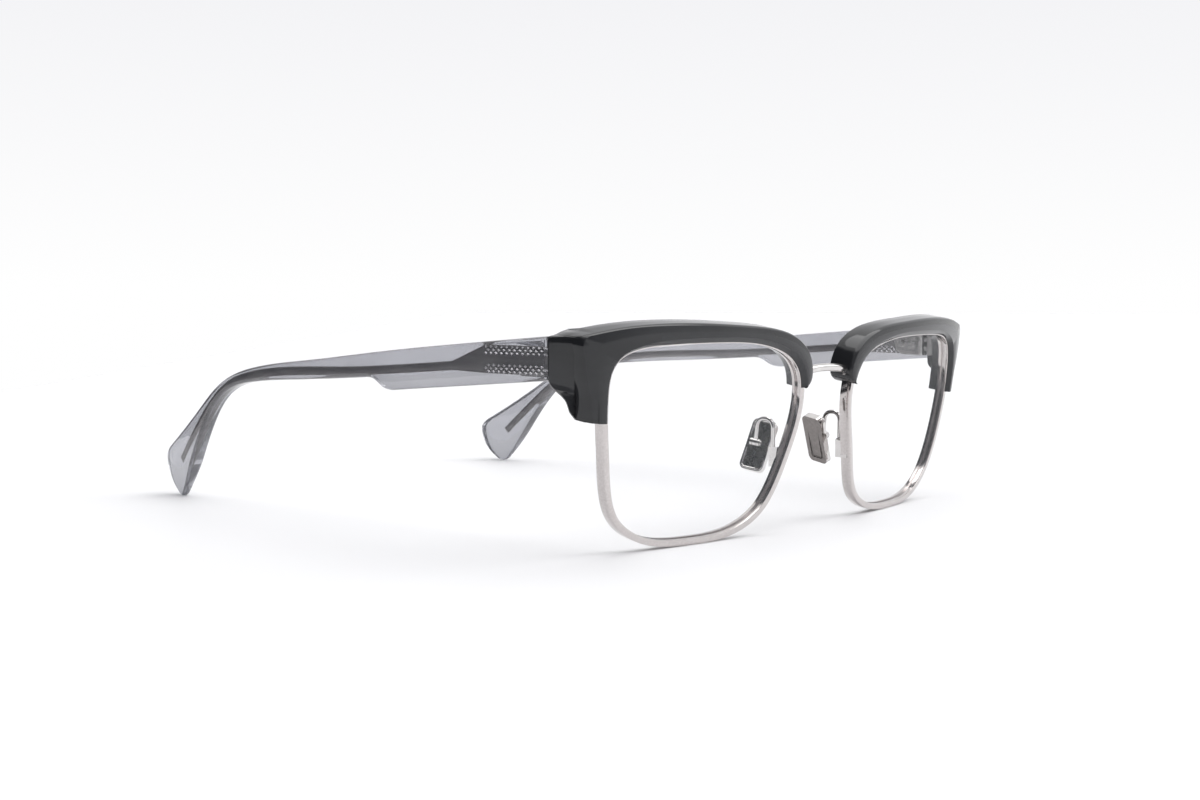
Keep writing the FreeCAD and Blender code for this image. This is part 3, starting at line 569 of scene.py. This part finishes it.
def slab(name, sign, body, loop, halfThickness, roundness, material, rings=4, thinning=0.0):
    # a flat outline given a rounded edge and then the temple's bow
    ahead = np.roll(loop, -1, axis=0) - np.roll(loop, 1, axis=0)
    ahead /= np.linalg.norm(ahead, axis=1, keepdims=True)
    out = np.stack([ahead[:, 1], -ahead[:, 0]], 1)
    area = np.sum(loop[:, 0] * np.roll(loop[:, 1], -1) - np.roll(loop[:, 0], -1) * loop[:, 1])
    if area < 0:
        out = -out
    profile = []
    for k in range(rings + 1):
        angle = math.pi / 2 * k / rings
        inset = -roundness * (1 - math.sin(angle))
        profile.append((inset, halfThickness - roundness * (1 - math.cos(angle))))
    profile = profile + [(inset, -depth) for inset, depth in profile[::-1]]
    work = bmesh.new()
    hoops = []
    for inset, depth in profile:
        ring = [work.verts.new((depth, p[0], p[1])) for p in loop + out * inset]
        hoops.append(ring)
    count = len(loop)
    for low, high in zip(hoops[:-1], hoops[1:]):
        for k in range(count):
            work.faces.new((low[k], low[(k + 1) % count], high[(k + 1) % count], high[k]))
    caps = [work.faces.new(hoops[0]), work.faces.new(hoops[-1][::-1])]
    bmesh.ops.triangulate(work, faces=caps)
    for vert in work.verts:
        depth, run, height = vert.co
        depth *= 1 - thinning * max(0.0, 1 - height / templeShape["tipHeight"]) ** 1.3
        vert.co = (sign * bowX(run, depth) * mm, (templeStart + run) * mm, height * mm)
    mesh = bpy.data.meshes.new(name)
    work.to_mesh(mesh)
    work.free()
    piece = bpy.data.objects.new(name, mesh)
    bpy.context.collection.objects.link(piece)
    finishMesh(piece, 32.0)
    mesh.materials.append(material)
    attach(piece, body)
    return piece


def templePiece(name, sign, body):
    t = templeShape
    return slab(name, sign, body, templeOutline(), t["thickness"] / 2, t["round"], templeAcetate,
                rings=5, thinning=t["tipThinning"])


mirroredPair(templePiece, "templeArm", ["temple"], "temple_body_{side}")
print("temples made")


# ---- metal cores with their ornamented plates

coreShape = {
    "thickness": 1.0, "wire": 1.7, "plate": 5.2, "plateDrop": 4.55, "plateLength": 23.5, "plateTaper": 7.0,
    "wireDrops": (4.0, 3.1), "rows": (-2.9, -2.15, -1.4, 1.4, 2.15, 2.9), "firstRidge": 0.8,
    "endBefore": 5.0, "rowPitch": 0.78, "columnPitch": 1.35, "ridge": 0.22, "round": 0.36,
}


def coreOutline():
    c = coreShape
    point = c["plateLength"]
    halfway = 0.5 * (point + bendRun)
    middle = np.array([
        (point + 2, topLine(point + 2) - c["wireDrops"][0]), (halfway, topLine(halfway) - c["wireDrops"][1]),
        (bendRun, templeShape["bendHeight"] - templeShape["bendWidth"] / 2 - 0.1), (templeRun - 30.5, 27.0),
        (templeRun - 23.0, 22.6), (templeRun - 13.8, 14.6), (templeRun - c["endBefore"] - 2.4, 8.6),
    ])
    run = np.gradient(middle, axis=0)
    run /= np.linalg.norm(run, axis=1, keepdims=True)
    side = np.stack([-run[:, 1], run[:, 0]], 1) * c["wire"] / 2
    upper, lower = openSpline(middle + side, 90), openSpline(middle - side, 90)
    centre = hingeLevel - c["plateDrop"]
    half = c["plate"] / 2
    widest = point - c["plateTaper"]
    corners = [
        upper[0], (widest, centre + half), (0.05, centre + half),
        (0.05, centre - half), (widest, centre - half), lower[0],
    ]
    plate = [evenly(np.array([corners[k], corners[k + 1]]), 12) for k in range(5)]
    loop = [part[:-1] for part in plate] + [lower, upper[::-1][:-1]]
    return np.concatenate(loop), centre


def corePiece(name, sign, body):
    c = coreShape
    loop, centre = coreOutline()
    piece = slab(name, sign, body, loop, c["thickness"] / 2, c["round"], coreMetal, rings=3)
    piece.data.materials.append(brightMetal)
    # rows of small pointed ridges on both faces of the plate, on each side of a plain band
    work = bmesh.new()
    work.from_mesh(piece.data)
    spread = c["columnPitch"] * 0.46
    rise = c["rowPitch"] * 0.40
    columns = int((c["plateLength"] - 6.5) / c["columnPitch"])

    def onPlate(run, depth, height):
        return work.verts.new((sign * bowX(run, depth) * mm, (templeStart + run) * mm, height * mm))

    for face in (-1, 1):
        flat, proud = face * (c["thickness"] / 2 - 0.02), face * (c["thickness"] / 2 + c["ridge"])
        for number, row in enumerate(c["rows"]):
            height = centre + row * c["rowPitch"]
            for column in range(columns):
                run = c["firstRidge"] + (column + 0.5 * (number % 2)) * c["columnPitch"]
                base = [
                    onPlate(run - spread, flat, height), onPlate(run, flat, height + rise),
                    onPlate(run + spread, flat, height), onPlate(run, flat, height - rise),
                ]
                peak = onPlate(run, proud, height)
                for k in range(4):
                    work.faces.new((base[k], base[(k + 1) % 4], peak)).material_index = 1
                work.faces.new(base[::-1]).material_index = 1
    bmesh.ops.recalc_face_normals(work, faces=work.faces)
    work.to_mesh(piece.data)
    work.free()
    return piece


mirroredPair(corePiece, "templeWire", ["temple_core"], "temple_body_{side}")
print("cores made")


# ---- bridge

bridgeShape = {"height": 1.7, "depth": 1.5, "arch": 0.7, "end": 9.35, "knob": 1.12, "foot": 0.52, "around": 20}


def tube(path, radii, around, squeeze=1.0):
    # round bar along a path; radii per point, squeeze flattens it front to back
    path = np.array(path, float)
    run = np.gradient(path, axis=0)
    run /= np.linalg.norm(run, axis=1, keepdims=True)
    reference = np.array([0.0, 1.0, 0.0])
    verts = []
    for place, forward, radius in zip(path, run, radii):
        sideAxis = np.cross(reference, forward)
        sideAxis /= np.linalg.norm(sideAxis)
        depthAxis = np.cross(forward, sideAxis)
        for k in range(around):
            angle = 2 * math.pi * k / around
            verts.append(place + radius * (math.cos(angle) * sideAxis + squeeze * math.sin(angle) * depthAxis))
    faces = gridFaces(len(path), around, False, True)
    faces.append(tuple(range(around))[::-1])
    faces.append(tuple(range((len(path) - 1) * around, len(path) * around)))
    return verts, faces


def makeBridge():
    b = bridgeShape
    low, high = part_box("bridge")
    y = (low[1] + high[1]) / 2 / mm
    crown = high[2] / mm - b["height"] / 2
    xs = np.linspace(-b["end"], b["end"], 41)
    path = [(x, y, crown - b["arch"] * 1.25 * (x / b["end"]) ** 2) for x in xs]
    ends = np.clip((np.abs(xs) - 7.0) / 1.3, 0, 1)
    radii = b["height"] / 2 + ends * (b["knob"] - b["height"] / 2)
    radii[0] = radii[-1] = 0.6
    radii[1] = radii[-2] = 0.95
    verts, faces = tube(path, radii, b["around"], b["depth"] / b["height"])
    for side in (-1, 1):
        # a foot runs from under each end down to the rim
        start = np.array([side * 7.6, y, crown - 1.1])
        finish = np.array([side * 9.6, y + 0.55, low[2] / mm + 0.55])
        steps = np.linspace(0, 1, 9)
        swing = np.array([side * 0.35, 0, 0])
        footPath = [start + (finish - start) * t + swing * math.sin(math.pi * t) for t in steps]
        more, moreFaces = tube(footPath, [b["foot"] * (1 + 0.5 * (1 - t)) for t in steps], b["around"])
        count = len(verts)
        verts = list(verts) + list(more)
        faces += [tuple(index + count for index in face) for face in moreFaces]
    piece = meshPiece("bridgeBar", np.array(verts) * mm, faces, brightMetal, "front", 50.0)
    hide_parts("bridge")


makeBridge()
print("bridge made")


# ---- nose pads: satin towards the nose, a dark tray with a bright rim behind

padShape = {
    "width": 5.2, "length": 11.0, "thickness": 1.3, "corner": 1.2, "pivotHeight": 1.5,
    "rimRadius": 0.32, "panelInset": 1.15, "panelCorner": 0.35, "grooveRadius": 0.07,
}


def roundedLoop(width, length, corner, count):
    points = []
    for quarter, (cx, cy) in enumerate(((1, 1), (-1, 1), (-1, -1), (1, -1))):
        for step in range(count):
            angle = math.radians(90 * quarter + 90 * step / (count - 1))
            points.append((cx * (width / 2 - corner) + corner * math.cos(angle),
                           cy * (length / 2 - corner) + corner * math.sin(angle)))
    return np.array(points)


def loopTube(loop, height, radius, sides=10):
    # a round bead along a closed loop, lying at one height over the pad
    ahead = np.roll(loop, -1, axis=0) - np.roll(loop, 1, axis=0)
    ahead /= np.linalg.norm(ahead, axis=1, keepdims=True)
    across = np.stack([ahead[:, 1], -ahead[:, 0]], 1)
    verts = []
    for point, side in zip(loop, across):
        for k in range(sides):
            angle = 2 * math.pi * k / sides
            verts.append((*(point + side * radius * math.cos(angle)), height + radius * math.sin(angle)))
    return np.array(verts), gridFaces(len(loop), sides, True, True)


def padPiece(name, sign, body):
    p = padShape
    side = "left" if sign > 0 else "right"
    joints = {joint["name"]: joint for joint in frame["record"]["behaviour"]["joints"]}
    pivot = joints["nose_pad_rock_" + side]
    across = np.array(pivot["axis"])
    behind = np.array((0.898 * sign, -0.248, 0.362))
    behind -= across * (behind @ across)
    behind /= np.linalg.norm(behind)
    upwards = np.cross(behind, across)
    middle = np.array(pivot["pos_m"]) - behind * p["pivotHeight"] * mm
    source = frame["nodes"]["nose_pad_" + side].data
    verts = [tuple(vertex.co) for vertex in source.vertices]
    faces = [tuple(polygon.vertices) for polygon in source.polygons]
    slots = []
    for polygon in source.polygons:
        facing = float(np.array(polygon.normal) @ behind)
        depth = float((np.array(polygon.center) - middle) @ behind) / mm
        front, tray = facing < -0.6 and depth < -1.0, facing > 0.6 and depth < -0.2
        slots.append(0 if front else 2 if tray else 1)
    bead = p["rimRadius"]
    border = roundedLoop(p["width"] - 2 * bead, p["length"] - 2 * bead, p["corner"] - bead, 7)
    inset = p["panelInset"]
    panel = roundedLoop(p["width"] - 2 * inset, p["length"] - 2 * inset, p["panelCorner"], 5)
    beads = [(border, -0.05, bead, 1), (panel, -p["thickness"], p["grooveRadius"], 2)]
    for loop, height, radius, slot in beads:
        points, beadFaces = loopTube(loop, height, radius)
        start = len(verts)
        verts += [tuple(middle + (x * across + y * upwards + z * behind) * mm) for x, y, z in points]
        faces += [tuple(index + start for index in face) for face in beadFaces]
        slots += [slot] * len(beadFaces)
    piece = meshPiece(name, np.array(verts), faces, padMetal, body, 30.0)
    piece.data.materials.append(brightMetal)
    piece.data.materials.append(trayMetal)
    piece.data.polygons.foreach_set("material_index", slots)
    return piece


mirroredPair(padPiece, "nosePad", ["nose_pad"], "nose_pad_body_{side}")
print("pads made")


# ---- floor, light and camera

floorMaterial, tree, shader = nodeMaterial("paperSweep", Roughness=0.6)
paper = objectNoise(tree, 3.0, 2.0)
colourFrom(tree, shader, paper, (0.89, 0.89, 0.90), (0.91, 0.91, 0.92))
floorMesh = bpy.data.meshes.new("floorSheet")
away, leftwards = Vector((0.764, 0.645, 0)), Vector((-0.645, 0.764, 0))
# the sheet ends close by on the left, so that the metal there mirrors the dark side of the room
floorReach = {"near": -0.6, "far": 3.0, "left": 0.27, "right": -1.2}
corners = [
    away * floorReach[depth] + leftwards * floorReach[side]
    for depth, side in (("near", "left"), ("near", "right"), ("far", "right"), ("far", "left"))
]
floorMesh.from_pydata([tuple(corner) for corner in corners], [], [(0, 1, 2, 3)])
floorSheet = bpy.data.objects.new("floorSheet", floorMesh)
bpy.context.collection.objects.link(floorSheet)
floorMesh.materials.append(floorMaterial)

viewPoint = {
    "azimuth": -49.85, "elevation": 3.84, "distance": 352.5, "roll": 0.0028, "lens": 50.0,
    "target": (-22.7, 40.0, 25.6),
}
azimuth, elevation = math.radians(viewPoint["azimuth"]), math.radians(viewPoint["elevation"])
level = math.cos(elevation)
backwards = Vector((math.sin(azimuth) * level, -math.cos(azimuth) * level, math.sin(elevation)))
sideways = Vector((0, 0, 1)).cross(backwards).normalized()
upwards = backwards.cross(sideways)
roll = viewPoint["roll"]
rightAxis = sideways * math.cos(roll) + upwards * math.sin(roll)
upAxis = upwards * math.cos(roll) - sideways * math.sin(roll)
target = Vector(viewPoint["target"]) + Vector((0, lensMiddle[1] - 1.07, 0.0))
eye = (target + backwards * viewPoint["distance"]) * mm
cameraData = bpy.data.cameras.new("viewCamera")
cameraData.lens = viewPoint["lens"]
cameraData.sensor_width = 36.0
cameraData.clip_start = 0.01
cameraData.clip_end = 50.0
viewCamera = bpy.data.objects.new("viewCamera", cameraData)
bpy.context.collection.objects.link(viewCamera)
pose = Matrix((rightAxis, upAxis, backwards)).transposed().to_4x4()
pose.translation = eye
viewCamera.matrix_world = pose
bpy.context.scene.camera = viewCamera


def softLight(name, place, aim, size, power, colour=(1, 1, 1)):
    data = bpy.data.lights.new(name, "AREA")
    data.shape = "RECTANGLE"
    data.size, data.size_y = size
    data.energy = power
    data.color = colour
    light = bpy.data.objects.new(name, data)
    bpy.context.collection.objects.link(light)
    light.location = place
    light.rotation_euler = (Vector(aim) - Vector(place)).to_track_quat("-Z", "Y").to_euler()
    return light


daylight = bpy.data.lights.new("softSun", "SUN")
daylight.energy = 1.7
daylight.angle = math.radians(70)
sunLamp = bpy.data.objects.new("softSun", daylight)
bpy.context.collection.objects.link(sunLamp)
sunLamp.rotation_euler = (math.radians(12), math.radians(10), 0)
softLight("rightBox", (0.7, -0.5, 0.5), (0, 0, 0.02), (0.4, 0.4), 0.8)

# studio surround: white behind and above, one dark side so that polished metal shows its form
world = bpy.data.worlds.new("studio")
world.use_nodes = True
bpy.context.scene.world = world
worldTree = world.node_tree
backdrop = worldTree.nodes["Background"]
backdrop.inputs["Strength"].default_value = 1.0
direction = worldTree.nodes.new("ShaderNodeTexCoord")
split = worldTree.nodes.new("ShaderNodeSeparateXYZ")
worldTree.links.new(direction.outputs["Generated"], split.inputs["Vector"])
white = ramp(worldTree, split.outputs["Z"], [
    (0.0, (1.0, 1.0, 1.0)), (0.17, (0.90, 0.90, 0.92)), (0.45, (0.80, 0.80, 0.82)), (0.8, (1.0, 1.0, 1.0)),
])


def towards(axis):
    # how nearly a direction points along the axis
    node = worldTree.nodes.new("ShaderNodeVectorMath")
    node.operation = "DOT_PRODUCT"
    node.inputs[1].default_value = axis
    worldTree.links.new(direction.outputs["Generated"], node.inputs[0])
    return node.outputs["Value"]


def darkened(colour, shade):
    node = worldTree.nodes.new("ShaderNodeMix")
    node.data_type = "RGBA"
    node.blend_type = "MULTIPLY"
    node.inputs["Factor"].default_value = 1.0
    # the colour sockets of this node share their names with others, so they go by number
    worldTree.links.new(colour, node.inputs[6])
    worldTree.links.new(shade, node.inputs[7])
    return node.outputs[2]


darkSide = ramp(worldTree, towards((-0.80, 0.60, 0.0)), [(0.42, (1, 1, 1)), (0.5, (0.035, 0.035, 0.04))])
dimRoom = ramp(worldTree, towards((-0.70, -0.70, 0.0)), [(0.1, (1, 1, 1)), (0.6, (0.42, 0.42, 0.44))])
worldTree.links.new(darkened(darkened(white, darkSide), dimRoom), backdrop.inputs["Color"])
bpy.context.scene.view_settings.view_transform = "Standard"
print("stage set")
